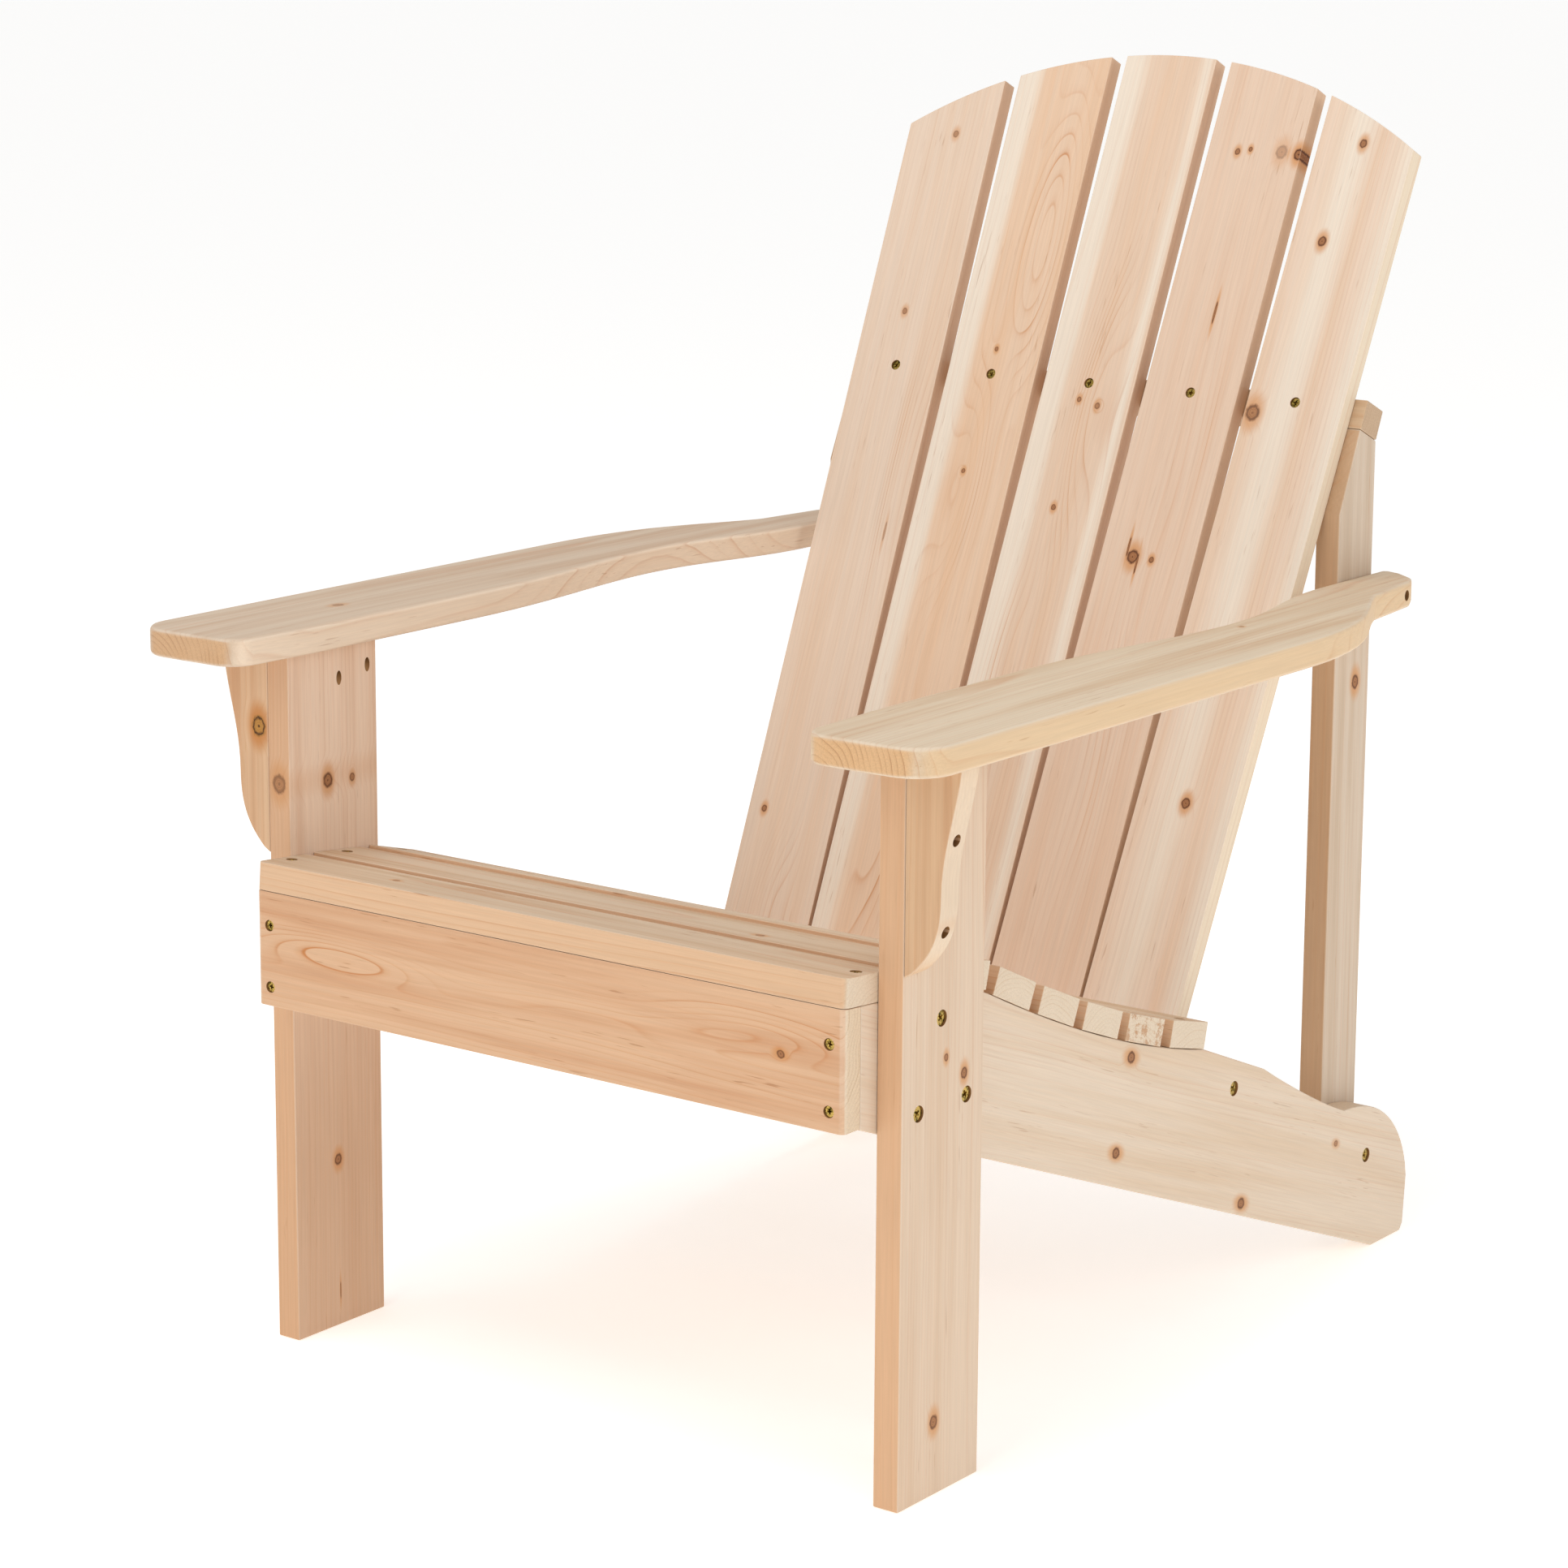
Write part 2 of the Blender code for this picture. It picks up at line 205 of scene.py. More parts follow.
# Planed softwood with no finish: cream sapwood, peach heartwood, thin orange-brown latewood lines
# that rise in arches where a board is cut flat, and brown knots with an orange halo.
woodTones = {
    "heart": "#DEC5AC",
    "heartDeep": "#D6B698",
    "sap": "#E6D8C6",
    "late": "#C27F48",
    "knot": "#84502F",
    "knotCore": "#A87449",
    "knotRim": "#4A2814",
    "halo": "#CC8C4E",
    # painted highlight for the rounded edges
    "edgeHighlight": "#E8D9C6",
    "edge": "#DDBE9C",
    "endGrain": "#DECBB0",
    "endLate": "#B08A5C",
    "torn": "#B57F50",
    # painted shadow of the seat on a leg's lower part
    "seatShadow": "#C39A76",
    # painted shade for the walls of screw holes
    "holeWallShade": "#9A7044",
}

woodCut = {
    "ringWidth": 3.4 * mm,       # one year's growth
    "waver": 5.0 * mm,           # how far the rings wander
    "unevenYears": 2.2,          # how far their spacing varies
    "fibreWidth": 1.3 * mm,      # drawn coarser than real fibres, which are too fine to show
    "fibreLength": 60 * mm,
    "streakWidth": 14 * mm,
    "streakLength": 400 * mm,
    "bumpHeight": 0.25 * mm,
    "knotStretch": 1.15,         # knots are cut longer along the grain,
    "streakStretch": 9,          # and thin branches that lie along it much longer
    "lineStrength": 1.15,        # for boards with no arches
}

# how dark one year's growth is from its start to its end, and a knot's tones from its pith outwards
yearStops = (0.0, 0.04), (0.52, 0.06), (0.80, 0.32), (0.93, 1.0), (1.0, 0.05)
knotStops = ((0.0, "knotRim"), (0.14, "knot"), (0.30, "knotCore"), (0.44, "knot"), (0.52, "knotCore"),
             (0.64, "knot"), (0.84, "knotRim"), (1.0, "knot"))


def planedWood(name, place, cut):
    # One board's material. place is the board's own frame, and cut says how it was sawn from the log:
    # pith (across, depth) and dip and swing of the log's axis in degrees; sapwood bands, arches in the
    # grain (crowns) and knots in mm.
    tone = dict(woodTones, **cut.get("tones", {}))
    draw = random.Random(cut["seed"])
    offset = Vector([draw.uniform(-40, 40) for _ in range(3)])
    made, tree, shader = newMaterial("planed fir, " + name)

    def maths(operation, *values):
        return addNode(tree, "ShaderNodeMath", dict(enumerate(values)), operation=operation).outputs[0]

    def vectors(operation, *values):
        node = addNode(tree, "ShaderNodeVectorMath", dict(enumerate(values)), operation=operation)
        return node.outputs["Value" if operation in ("LENGTH", "DOT_PRODUCT") else "Vector"]

    def together(operation, values):
        total = values[0]
        for value in values[1:]:
            total = maths(operation, total, value)
        return total

    def stretched(source, length, width, shift=0.0, output="Fac", **settings):
        # noise whose blotches are length along the grain and width across it
        spot = vectors("MULTIPLY_ADD", source, (1 / length, 1 / width, 1 / width),
                       offset + Vector((shift, 2 * shift, 0)))
        return addNode(tree, "ShaderNodeTexNoise", {"Vector": spot, "Scale": 1.0, **settings}).outputs[output]

    def blend(factor, first, second):
        # each colour is a link or the name of a tone
        first, second = (toLinear(tone[c]) if isinstance(c, str) else c for c in (first, second))
        return addNode(tree, "ShaderNodeMix", {0: factor, 6: first, 7: second}, data_type="RGBA").outputs[2]

    def ease(value, start, end, low=0.0, high=1.0, kind="SMOOTHSTEP"):
        return addNode(tree, "ShaderNodeMapRange", {
            "Value": value, "From Min": start, "From Max": end, "To Min": low, "To Max": high,
        }, interpolation_type=kind).outputs[0]

    coords = addNode(tree, "ShaderNodeTexCoord")
    board = addNode(tree, "ShaderNodeMapping", {
        "Vector": coords.outputs["Object"], "Location": place.translation, "Rotation": place.to_euler(),
    }, vector_type="TEXTURE").outputs[0]

    # the tree didn't grow straight: rings wander a few millimetres along the board
    wander = stretched(board, 0.30, 0.055, output="Color", Detail=2.0, Roughness=0.45)
    waver = woodCut["waver"] * cut.get("waver", 1.0)
    shift = vectors("MULTIPLY_ADD", wander, (0, waver, waver), (0, -waver / 2, -waver / 2))
    grain = vectors("ADD", board, shift)

    # knots: distance from each branch's axis in its own radii, and how far it pushes the rings aside
    aways, spreads, pushes, tints = [], [], [], []
    for along, across, radius, depthOfTone, way in cut.get("knots", ()):
        longer = woodCut["streakStretch"] if way == "streak" else woodCut["knotStretch"]
        centre = (along * mm, across * mm, 0)
        shrink = (1 / (radius * mm * longer), 1 / (radius * mm), 0)
        if way == "edge":
            centre, shrink = (centre[0], 0, centre[1]), (shrink[0], 0, shrink[1])
        unit = vectors("MULTIPLY", vectors("SUBTRACT", board, centre), shrink)
        aways.append(vectors("LENGTH", unit))
        # resin has spread further along the grain than across it
        spreads.append(vectors("LENGTH", vectors("MULTIPLY", unit, (0.7, 1, 1))))
        pushes.append(ease(aways[-1], 0.0, 3.6, radius * 1.1 * mm, 0.0))
        tints.append(ease(spreads[-1], 2.8, 2.2, 0.0, depthOfTone))

    # growth rings round the pith, which lies off the board and not quite along it
    across, depth = cut["pith"]
    log = addNode(tree, "ShaderNodeMapping", {
        "Vector": grain, "Location": (0, across * mm, depth * mm),
        "Rotation": (0, math.radians(cut["dip"]), math.radians(cut["swing"])),
    }, vector_type="TEXTURE").outputs[0]
    radius = vectors("LENGTH", vectors("MULTIPLY", log, (0, 1, 1)))
    if pushes:
        radius = maths("ADD", radius, together("ADD", pushes))
    crowned = []
    for along, across, halfLength, halfWidth, rise in cut.get("crowns", ()):
        offCentre = vectors("SUBTRACT", grain, (along * mm, across * mm, 0))
        unit = vectors("MULTIPLY", offCentre, (1 / (halfLength * mm), 1 / (halfWidth * mm), 0))
        away = vectors("LENGTH", unit)
        radius = maths("ADD", radius, ease(away, 0.0, 1.6, rise * mm, 0.0))
        crowned.append(ease(away, 1.5, 0.5))
    years = maths("DIVIDE", radius, woodCut["ringWidth"] * cut.get("ringScale", 1.0))
    uneven = stretched(grain, 0.5, 0.035, 7.0, Detail=1.0)
    years = maths("MULTIPLY_ADD", uneven, woodCut["unevenYears"], years)
    late = addNode(tree, "ShaderNodeValToRGB", {"Fac": maths("FRACT", years)},
                   stops=yearStops).outputs["Color"]
    oneYear = addNode(tree, "ShaderNodeTexWhiteNoise", {"W": maths("FLOOR", years)},
                      noise_dimensions="1D").outputs["Value"]
    fade = stretched(grain, 0.22, 0.03, 11.0, Detail=2.0)
    strength = ease(oneYear, 0.0, 1.0, 0.25, 1.0, "LINEAR")
    strength = maths("MULTIPLY", strength, ease(fade, 0.35, 0.62, 0.35, 1.0))
    lateness = maths("MULTIPLY", late, strength)

    # fibres, broad streaks and short brown dashes of resin
    fibre = stretched(grain, woodCut["fibreLength"], woodCut["fibreWidth"], 5.0,
                      Detail=3.0, Roughness=0.6)
    streak = stretched(grain, woodCut["streakLength"], woodCut["streakWidth"], 9.0,
                       Detail=3.0, Roughness=0.55)
    dash = stretched(grain, 0.028, 0.0016, 13.0, Detail=1.0)
    patch = stretched(grain, 0.16, 0.03, 17.0, Detail=1.0)
    dashes = maths("MULTIPLY", ease(dash, 0.66, 0.76), ease(patch, 0.50, 0.62))

    # heartwood and sapwood
    colour = blend(ease(streak, 0.38, 0.72), "heart", "heartDeep")
    for centre, half, soft in cut.get("sap", ()):
        sideways = addNode(tree, "ShaderNodeSeparateXYZ", {0: grain}).outputs["Y"]
        off = maths("ABSOLUTE", maths("SUBTRACT", sideways, centre * mm))
        off = maths("MULTIPLY_ADD", streak, 0.012, off)
        colour = blend(ease(off, (half + soft) * mm + 0.006, (half - soft) * mm + 0.006), colour, "sap")
    if "seatShadow" in cut:                     # painted shadow: the board is darker towards its lower end, which the seat shades
        start, end, strength = cut["seatShadow"]
        length = addNode(tree, "ShaderNodeSeparateXYZ", {0: board}).outputs["X"]
        colour = blend(ease(length, start * mm, end * mm, 0.0, strength), colour, "seatShadow")
    sideOn = vectors("DOT_PRODUCT", coords.outputs["Normal"], place.col[1].xyz)
    narrow = ease(maths("ABSOLUTE", sideOn), 0.55, 0.9, 0.0, 0.8)
    colour = blend(narrow, colour, "edge")      # the narrow faces get a tone of their own: partly the other grain they show, partly painted shade (leg and post fronts) and painted light (the far arm's inner side, the back slats' sides in the gaps)
    if crowned:
        contrast = maths("MULTIPLY_ADD", together("MAXIMUM", crowned), cut["crownContrast"], cut["contrast"])
    else:
        contrast = cut["contrast"] * woodCut["lineStrength"]
    colour = blend(maths("MULTIPLY", lateness, contrast), colour, "late")
    colour = blend(maths("MULTIPLY", dashes, cut.get("dashes", 0.35)), colour, "knotCore")
    colour = vectors("MULTIPLY", colour, ease(fibre, 0.3, 0.7, 0.95, 1.04, "LINEAR"))

    # sawn ends are duller and show the rings as arcs
    facing = vectors("DOT_PRODUCT", coords.outputs["Normal"], place.col[0].xyz)
    sawn = ease(maths("ABSOLUTE", facing), 0.75, 0.95)
    pores = noise(tree, board, 900.0)
    endShade = blend(maths("MULTIPLY", lateness, 0.8), "endGrain", "endLate")
    endShade = vectors("MULTIPLY", endShade, ease(pores, 0.3, 0.7, 0.92, 1.05))
    if cut.get("torn"):                    # a blunt saw has torn this end
        tear = stretched(board, 0.02, 0.011, 23.0, Detail=4.0, Roughness=0.8)
        endShade = blend(ease(tear, 0.47, 0.60, 0.0, 0.75), endShade, "torn")
    colour = blend(maths("MULTIPLY", sawn, 0.88), colour, endShade)

    # latewood stands a little proud of the planed face, and fibres and pores roughen it
    height = maths("MULTIPLY_ADD", lateness, 0.15, maths("MULTIPLY", fibre, 0.7))
    height = maths("MULTIPLY_ADD", maths("MULTIPLY", sawn, pores), 0.8, height)

    if aways:
        ragged = stretched(board, 0.0036, 0.0026, 3.0, Detail=3.0, Roughness=0.6)
        nearest, dark = together("MINIMUM", aways), together("MAXIMUM", tints)
        rough = maths("MULTIPLY_ADD", ragged, 0.55, maths("SUBTRACT", nearest, 0.275))
        inside = addNode(tree, "ShaderNodeValToRGB", {"Fac": rough}, stops=[
            (spot, tone[key]) for spot, key in knotStops]).outputs["Color"]
        glow = ease(together("MINIMUM", spreads), 2.3, 0.85)
        colour = blend(maths("MULTIPLY", glow, maths("MULTIPLY", dark, 0.78)), colour, "halo")
        knotMask = maths("MULTIPLY", ease(rough, 1.25, 0.85), dark)
        colour = blend(knotMask, colour, inside)
        height = maths("MULTIPLY_ADD", knotMask, 0.3, height)

    # painted highlight: the rounded edges are made paler, their grain lines faded, as if catching the light;
    # painted shade darkens the walls of screw holes
    edgeHighlight = addNode(tree, "ShaderNodeAttribute", attribute_name="edgeHighlightMask").outputs["Fac"]
    highlightAmount = maths("MULTIPLY", edgeHighlight, ease(fade, 0.3, 0.65, 0.25, 0.8))
    colour = blend(maths("MULTIPLY", highlightAmount, 0.35), colour, "edgeHighlight")
    # painted shade darkens the walls of screw holes
    holeWallShade = addNode(tree, "ShaderNodeAttribute", attribute_name="holeWallShade").outputs["Fac"]
    colour = blend(holeWallShade, colour, "holeWallShade")

    bump = addNode(tree, "ShaderNodeBump", {"Height": height, "Strength": 0.45,
                                            "Distance": woodCut["bumpHeight"]}).outputs[0]
    gloss = maths("MULTIPLY_ADD", fibre, 0.22, 0.52)
    gloss = maths("MULTIPLY_ADD", lateness, -0.08, gloss)

    tree.links.new(colour, shader.inputs["Base Color"])
    tree.links.new(gloss, shader.inputs["Roughness"])
    tree.links.new(bump, shader.inputs["Normal"])
    shader.inputs["IOR"].default_value = 1.5
    shader.inputs["Specular IOR Level"].default_value = 0.28
    return made


def finishBoard(thing, wood, thicknessWay, roundness):
    # rounded edges, then a mask on their middle rows, which gets painted highlight where the rounding would
    # catch the light
    bpy.ops.object.mode_set(mode="EDIT")
    bpy.ops.mesh.select_mode(type="EDGE")
    bpy.ops.mesh.select_all(action="SELECT")
    bpy.ops.mesh.normals_make_consistent(inside=False)
    bpy.ops.mesh.select_all(action="DESELECT")
    bpy.ops.mesh.edges_select_sharp(sharpness=math.radians(32))
    bpy.ops.mesh.bevel(offset=roundness, segments=3, affect="EDGES", clamp_overlap=True)
    bpy.ops.object.mode_set(mode="OBJECT")
    mesh = thing.data
    thicknessWays[thing.name] = thicknessWay
    highlightMask = mesh.attributes.new("edgeHighlightMask", "FLOAT", "POINT")
    inner = [True] * len(mesh.vertices)
    for face in mesh.polygons:
        lean = abs(face.normal.dot(thicknessWay))
        if lean > 0.995 or lean < 0.02:          # a broad face or a square edge, not its rounding
            for corner in face.vertices:
                inner[corner] = False
    highlightMask.data.foreach_set("value", [1.0 if onRounding else 0.0 for onRounding in inner])
    mesh.materials.clear()
    mesh.materials.append(wood)
    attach(thing, "root")
    return thing


def block(node, centre, size, tilt, wood, roundness, corner=0.0, drop=0.0):
    # a plain sawn board; corner rounds the upright edges at its front, drop lowers its top at the back
    clearSelection()
    bpy.ops.mesh.primitive_cube_add(size=1)
    thing = bpy.context.object
    thing.name = "board_" + node
    thing.data.transform(Matrix.Diagonal((*size, 1)))
    for point in thing.data.vertices:
        if point.co.y > 0 and point.co.z > 0:
            point.co.z -= drop
    if corner:
        for edge in thing.data.edges:
            first, second = (thing.data.vertices[end].co for end in edge.vertices)
            x, y, z = (first + second) / 2
            edge.select = abs(x) > 0.4 * size.x and y < -0.4 * size.y and abs(z) < 0.1 * size.z
        for face in thing.data.polygons:
            face.select = False
        bpy.ops.object.mode_set(mode="EDIT")
        bpy.ops.mesh.select_mode(type="EDGE")
        bpy.ops.mesh.bevel(offset=corner, segments=5, affect="EDGES")
        bpy.ops.object.mode_set(mode="OBJECT")
    thing.data.transform(Matrix.Translation(centre) @ Matrix.Rotation(tilt, 4, "X"))
    thin = min(range(3), key=lambda i: size[i])
    way = Matrix.Rotation(tilt, 3, "X").col[thin]
    finishBoard(thing, wood, way, roundness)
    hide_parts(node)
    return thing


def shaped(node, outline, thickness, place, wood, roundness):
    # a board sawn to an outline, given as (along, across) in the board's own frame
    clearSelection()
    bpy.ops.mesh.primitive_circle_add(vertices=len(outline), radius=0.1, fill_type="NGON")
    thing = bpy.context.object
    thing.name = "board_" + node
    for corner, (a, b) in zip(thing.data.vertices, outline):
        corner.co = place @ Vector((a, b, -thickness / 2))
    bpy.ops.object.mode_set(mode="EDIT")
    bpy.ops.mesh.select_all(action="SELECT")
    way = place.col[2].xyz
    bpy.ops.mesh.extrude_region_move(TRANSFORM_OT_translate={"value": way * thickness})
    finishBoard(thing, wood, way, roundness)
    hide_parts(node)
    return thing


def turnedBox(node, tilt):
    # centre and size of a CAD board that was turned about X
    turn = Matrix.Rotation(tilt, 3, "X")
    points = [turn.transposed() @ corner.co for corner in nodes[node].data.vertices]
    low = Vector([min(p[i] for p in points) for i in range(3)])
    high = Vector([max(p[i] for p in points) for i in range(3)])
    return turn @ ((low + high) / 2), high - low


boards = {}
thicknessWays = {}
upTilt = math.radians(24.3)             # how far the back leans
sinT, cosT = math.sin(upTilt), math.cos(upTilt)
backUp = Vector((0, sinT, cosT))
backThrough = Vector((0, cosT, -sinT))
footBack = 0.357                        # from the legs' front faces to the foot of the back's front plane
backFoot = Vector((0, frontY + footBack, 0))


def onBack(x, along, behind):
    return backFoot + Vector((x, 0, 0)) + backUp * along + backThrough * behind


# legs, apron and rails
# the legs' darker, orange edge tone is partly painted shade on their front faces, under the arms
legCuts = {
    "left": {"seed": 11, "pith": (74, 40), "dip": 0.5, "swing": 0.3, "contrast": 0.3,
             "tones": {"heart": "#DBC4AC", "heartDeep": "#D5BA9F", "edge": "#D8AA80"},
             "knots": ((46, 3.3, 2.4, 0.8, "face"), (30, 25.3, 3.6, 0.9, "face"),
                       (-213.6, -6.5, 4.4, 0.85, "face"))},
    "right": {"seed": 12, "pith": (-66, 52), "dip": 0.4, "swing": -0.3, "contrast": 0.34,
              "tones": {"heart": "#EBD0B8", "heartDeep": "#E2C1A6", "edge": "#D3A67E"},
              # painted shadow: the seat shades this leg below the apron
              "seatShadow": (90, -150, 0.6),
              "knots": ((164.3, -6.8, 5.0, 0.9, "face"), (162.1, 20.1, 2.8, 0.8, "face"),
                        (-134.4, -1.7, 3.8, 0.85, "face"), (-240, -1.3, 0.7, 0.7, "streak"),
                        (167.0, 0.0, 6.2, 0.65, "edge"))},
}
for side, cut in legCuts.items():
    low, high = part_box("front_leg_" + side)
    centre = (low + high) / 2
    place = axesMatrix((0, 0, 1), (0, 1, 0), centre)
    wood = planedWood("front leg " + side, place, cut)
    node = "front_leg_" + side
    boards[node] = block(node, centre, high - low, 0, wood, 1.0 * mm)

low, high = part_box("front_apron")
apronCut = {"seed": 21, "pith": (40, 70), "dip": 0.6, "swing": -0.4, "contrast": 0.55, "waver": 1.5,
            "tones": {"heart": "#D9B28F", "heartDeep": "#CD9E79", "edge": "#D8BA9A"}, "dashes": 0.6,
            "crowns": ((-186, 8, 92, 15, 16), (196, 16, 84, 14, 14), (60, 4, 110, 12, 7)),
            "crownContrast": 0.85,
            "knots": ((216.2, 4.0, 2.8, 0.85, "face"),)}
place = axesMatrix((1, 0, 0), (0, 0, 1), (low + high) / 2)
wood = planedWood("apron", place, apronCut)
boards["front_apron"] = block("front_apron", (low + high) / 2, high - low, 0, wood, 0.5 * mm,
                              corner=4.5 * mm, drop=1.6 * mm)

railCut = {"seed": 31, "pith": (4, 70), "dip": 0.6, "swing": 0.0, "contrast": 0.4,
           "tones": {"heart": "#CDB292", "heartDeep": "#C09E7B", "edge": "#C9AC8C", "endGrain": "#C2A587",
                     "endLate": "#94714C"}}
for number, node in enumerate(("upper_back_rail", "lower_back_rail")):
    centre, size = turnedBox(node, -upTilt)
    place = axesMatrix((1, 0, 0), backUp, centre)
    wood = planedWood(node.replace("_", " "), place, dict(railCut, seed=31 + number))
    boards[node] = block(node, centre, size, -upTilt, wood, 0.8 * mm)
print("legs, apron and rails made")


def slatTop(node):
    # the way that a seat slat's broad top faces, and its turn about X
    up = max((f for f in nodes[node].data.polygons if f.normal.z > 0.5), key=lambda f: f.area).normal
    return up, math.atan2(-up.y, up.z)


# seat slats
slatRandom = random.Random(77)
for number in range(1, 9):
    node = f"seat_slat_{number}"
    tilt = slatTop(node)[1]
    centre, size = turnedBox(node, tilt)
    place = axesMatrix((1, 0, 0), (0, math.cos(tilt), math.sin(tilt)), centre)
    cut = {"seed": 40 + number, "pith": (slatRandom.uniform(-25, 25), -slatRandom.uniform(28, 60)),
           "dip": slatRandom.uniform(-1.6, 1.6), "swing": slatRandom.uniform(-0.6, 0.6), "contrast": 0.5,
           "tones": {"heart": "#D6BFA4", "heartDeep": "#C9AB8A", "edge": "#DCB590", "endGrain": "#DECDB6",
                     "endLate": "#CBAF8B"}, "dashes": 0.8, "torn": number == 7,
           "knots": [(slatRandom.uniform(-200, 200), slatRandom.uniform(-12, 12),
                      slatRandom.uniform(1.6, 3.0), 0.6, "face")]}
    wood = planedWood(f"seat slat {number}", place, cut)
    boards[node] = block(node, centre, size, tilt, wood, 0.6 * mm,
                         corner=5 * mm if number == 1 else 0.0)
print("seat slats made")


# stringers: the long side boards, from the apron down to the floor at the back
stringer = {
    "front": -0.0184,
    "frontTop": 0.3612,
    "frontLow": 0.2745,
    "knee": (0.135, 0.3365),
    "seatEnd": (0.430, 0.2284),
    "shoulder": (0.521, 0.1919),
    "valley": (0.650, 0.1272),
    "tail": 0.758,
    "heel": (0.702, 0.750),
}


def stringerOutline():
    s = stringer
    points = [(s["heel"][0], 0), (s["heel"][1], 0), (s["tail"] - 0.0035, 0.006), (s["tail"], 0.046)]
    points += bezier((s["tail"], 0.048), (0.750, 0.094), (0.712, 0.126), s["valley"], 16)[1:]
    points += bezier(s["valley"], (0.620, 0.1385), (0.560, 0.169), s["shoulder"], 12) + [s["shoulder"]]
    edge = bezier((s["front"], s["frontTop"]), (0.0566, 0.3551), (0.100, 0.3523), s["knee"], 12)
    edge += bezier(s["knee"], (0.235, 0.2885), (0.330, 0.2504), s["seatEnd"], 14) + [s["seatEnd"]]
    return points + edge[::-1] + [(s["front"], s["frontLow"])]


stringerSlope = math.atan(0.381)
stringerTones = {"heart": "#DECBB5", "heartDeep": "#D8C0A5", "edge": "#D8C0A4"}
stringerCuts = {
    "left": {"seed": 51, "pith": (70, 44), "dip": 0.5, "swing": 1.2, "contrast": 0.26,
             "tones": stringerTones,
             "knots": ((-66.2, 46.1, 4.4, 0.9, "face"), (-58.9, -25, 4.2, 0.9, "face"),
                       (143.8, -40.6, 4.4, 0.9, "face"), (277.5, 23.0, 2.6, 0.7, "face"))},
    "right": {"seed": 52, "pith": (-64, 44), "dip": 0.6, "swing": -0.8, "contrast": 0.28,
              "tones": stringerTones,
              "knots": ((-120, 10, 3.6, 0.8, "face"), (90, -22, 4.2, 0.8, "face"))},
}
for side, cut in stringerCuts.items():
    node = "stringer_" + side
    low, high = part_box(node)
    middle = Vector(((low.x + high.x) / 2, frontY + 0.37, 0.18))
    place = axesMatrix((0, math.cos(stringerSlope), -math.sin(stringerSlope)),
                       (0, math.sin(stringerSlope), math.cos(stringerSlope)), middle)
    inPlace = place.inverted()
    outline = [(inPlace @ Vector((middle.x, frontY + y, z))).xy for y, z in stringerOutline()]
    wood = planedWood("stringer " + side, place, cut)
    boards[node] = shaped(node, outline, high.x - low.x, place, wood, 1.0 * mm)


# posts: upright behind the back, their tops cut square to it and bevelled along it
upperRail, lowerRail = 0.759, 0.219      # rail centres, along the back
railHalf, gap = 0.012, 0.3 * mm          # half a rail's height, and the room between touching boards
post = {"front": 0.650, "rear": 0.7047, "low": 0.040, "cut": upperRail - railHalf - gap, "behind": 0.0163}
# the posts' darker edge tone is painted shade on their front faces, behind the back slats
postTones = {"heart": "#D2BFAA", "heartDeep": "#C6AF96", "edge": "#C09A74"}
postCuts = {
    "left": {"seed": 61, "pith": (40, 30), "dip": 0.4, "swing": 0.2, "contrast": 0.3,
             "tones": postTones,
             "knots": ((120.9, 6.0, 5.0, 0.9, "face"),)},
    "right": {"seed": 62, "pith": (-36, 34), "dip": 0.4, "swing": -0.2, "contrast": 0.3,
              "tones": postTones,
              "knots": ((-60, -6, 3.6, 0.8, "face"), (210, 8, 2.8, 0.7, "face"))},
}


def postOutline():
    front, rear, low, cut, behind = (post[k] for k in ("front", "rear", "low", "cut", "behind"))
    rearTop = (cut - (rear - footBack) * sinT) / cosT
    frontTop = onBack(0, cut, behind) - Vector((0, frontY, 0))
    bevelAlong = (front - footBack - behind * cosT) / sinT
    bevelFoot = onBack(0, bevelAlong, behind)
    return [(front, low), (rear, low), (rear, rearTop), (frontTop.y, frontTop.z), (front, bevelFoot.z)]


for side, cut in postCuts.items():
    node = "rear_post_" + side
    low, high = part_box(node)
    middle = Vector(((low.x + high.x) / 2, frontY + 0.677, 0.35))
    place = axesMatrix((0, 0, 1), (0, 1, 0), middle)
    inPlace = place.inverted()
    outline = [(inPlace @ Vector((middle.x, frontY + y, z))).xy for y, z in postOutline()]
    wood = planedWood("post " + side, place, cut)
    boards[node] = shaped(node, outline, high.x - low.x, place, wood, 1.4 * mm)
print("stringers and posts made")


# back slats: five that fan out, their tops on one arc
backSlat = {"width": 0.0865, "thickness": 0.016, "foot": 0.200, "top": 1.046, "arc": 0.450,
            "pitch": 0.0885, "fan": 0.0148, "topSteps": 12}


def slatCentre(order, along):
    return order * (backSlat["pitch"] + backSlat["fan"] * (along - backSlat["foot"]))


def topAt(x):
    return backSlat["top"] - backSlat["arc"] + math.sqrt(backSlat["arc"] ** 2 - x ** 2)


def slatOutline(order):
    foot, half, lean = backSlat["foot"], backSlat["width"] / 2, order * backSlat["fan"]
    centre = slatCentre(order, foot)
    ends = []
    for offset in (half, -half):
        along = backSlat["top"]
        for _ in range(20):                # settles where the slat's side meets the arc
            x = centre + offset + lean * (along - foot)
            along = topAt(x)
        ends.append(x)
    count = backSlat["topSteps"]
    across = [ends[0] + (ends[1] - ends[0]) * i / count for i in range(count + 1)]
    return [(centre - half, foot), (centre + half, foot)] + [(x, topAt(x)) for x in across]
